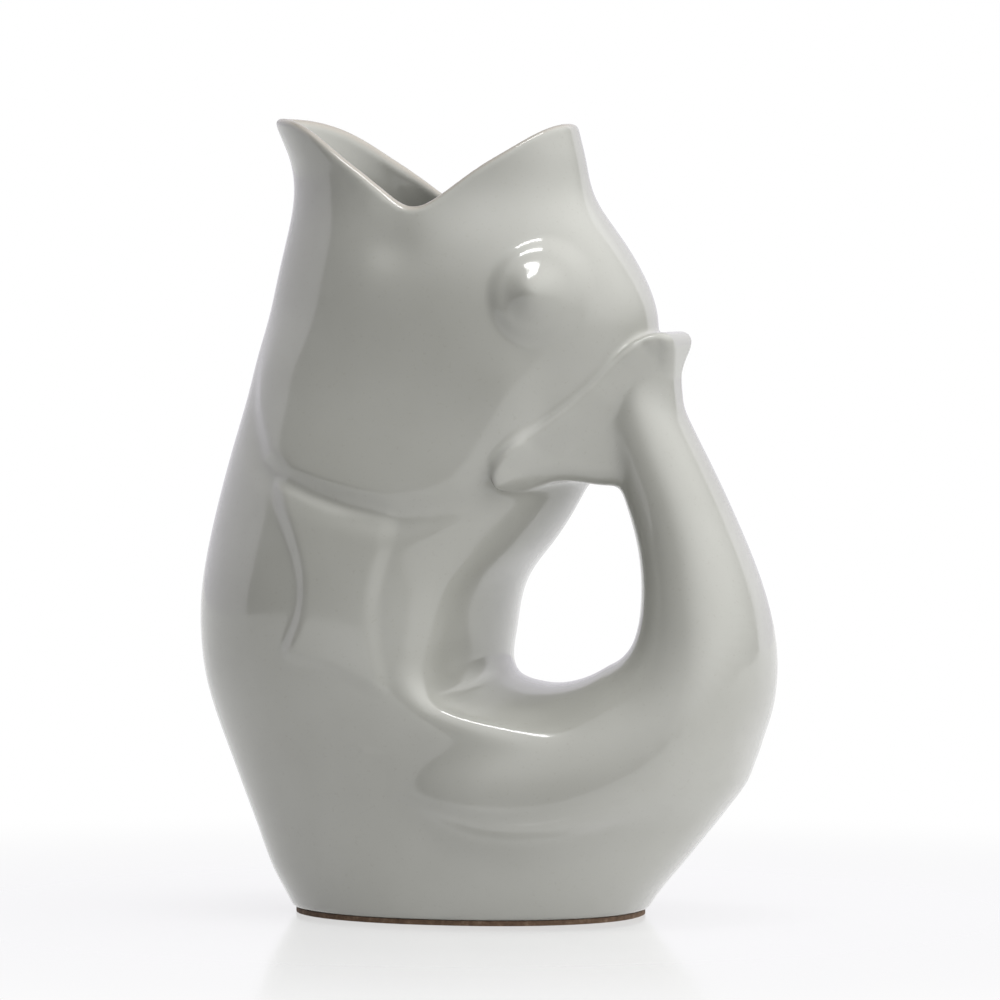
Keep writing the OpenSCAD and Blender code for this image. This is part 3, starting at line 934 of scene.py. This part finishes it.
def studio_lights(tree):
    """Strength of the white light and of the backdrop in each direction."""
    direction = add(tree, "TexCoord").outputs["Generated"]
    level = add(tree, "VectorMath", {0: direction, 1: (1, 1, 0)}, operation="MULTIPLY")
    level = add(tree, "VectorMath", {0: level.outputs["Vector"]}, operation="NORMALIZE")

    def part(axis, spread, strength, source=direction):
        dot = add(tree, "VectorMath", {0: source, 1: axis}, operation="DOT_PRODUCT")
        return smooth_range(tree, dot.outputs["Value"], *spread, 0, strength)

    shiny = math_node(tree, "MULTIPLY", seen_ray(tree)[1], BACKDROP - BACK_FILL)
    back = math_node(tree, "MULTIPLY", math_node(tree, "ADD", shiny, BACK_FILL),
                     part(BACKDROP_AXIS, BACKDROP_EDGE, 1, level.outputs["Vector"]))
    back = math_node(tree, "MULTIPLY", back, part((0, 0, -1), BACKDROP_TOP, 1))
    total = math_node(tree, "ADD", part((0, 0, 1), ABOVE_SPREAD, ABOVE),
                      part(KEY, KEY_SPREAD, KEY_LIGHT))
    return math_node(tree, "ADD", total, part(SIDE, SIDE_SPREAD, SIDE_LIGHT)), back


def world():
    """White to the camera. Otherwise dark on this side of the jug, brighter above and to the
    right, with a pale backdrop behind whose edge shows as a crisp line in the glaze."""
    studio = bpy.data.worlds.new("studio")
    bpy.context.scene.world = studio
    studio.use_nodes = True
    tree = studio.node_tree
    tree.nodes.clear()
    total, back = studio_lights(tree)
    lights = add(tree, "Background", {"Color": WHITE, "Strength": total})
    backdrop = add(tree, "Background", {"Color": BACKDROP_COLOUR, "Strength": back})
    both = add(tree, "AddShader", {0: lights.outputs[0], 1: backdrop.outputs[0]})
    white = add(tree, "Background", {"Color": WHITE})
    mix = add(tree, "MixShader", {0: seen_ray(tree)[0], 1: both.outputs[0],
                                  2: white.outputs[0]})
    add(tree, "OutputWorld", {0: mix.outputs[0]})


# the small lamp whose mirror images are the highlights on the eye and the rim
LAMP_SIZE, LAMP_POWER, LAMP_TARGET = (0.46, 0.12), 2.8, Vector((0, 0, 0.2))
LAMP_AT = 0.03 * RIGHT - 0.14 * BEHIND + Vector((0, 0, 1.25))


def lamp():
    data = bpy.data.lights.new("small_overhead", "AREA")
    data.shape = "RECTANGLE"
    data.size, data.size_y = LAMP_SIZE
    data.energy = LAMP_POWER
    obj = bpy.data.objects.new("small_overhead", data)
    obj.location = LAMP_AT
    obj.rotation_mode = "QUATERNION"
    obj.rotation_quaternion = (LAMP_TARGET - LAMP_AT).to_track_quat("-Z", "Y")
    bpy.context.scene.collection.objects.link(obj)


# the camera, fitted to the photo: pixels are of a picture this wide and high
CAMERA_AWAY, CAMERA_UP, SENSOR = 2.2, 0.212, 36
PICTURE, FOCAL = 1000, 6888
HORIZON_Y, JUG_AXIS_X = 249.6, 469.5
CLIP = (0.05, 50)


def camera():
    data = bpy.data.cameras.new("camera")
    data.sensor_width = SENSOR
    data.lens = FOCAL / PICTURE * SENSOR
    data.clip_start, data.clip_end = CLIP
    obj = bpy.data.objects.new("camera", data)
    bpy.context.scene.collection.objects.link(obj)
    obj.location = Vector((0, 0, CAMERA_UP)) - CAMERA_AWAY * BEHIND
    obj.rotation_mode = "XYZ"
    tilt = math.atan((PICTURE / 2 - HORIZON_Y) / FOCAL)
    pan = math.atan((PICTURE / 2 - JUG_AXIS_X) / FOCAL)
    obj.rotation_euler = (math.radians(90) - tilt, 0, CAMERA_TURN - pan)
    bpy.context.scene.camera = obj


floor()
world()
lamp()
camera()
bpy.context.scene.view_settings.view_transform = "Standard"

bpy.context.view_layer.update()
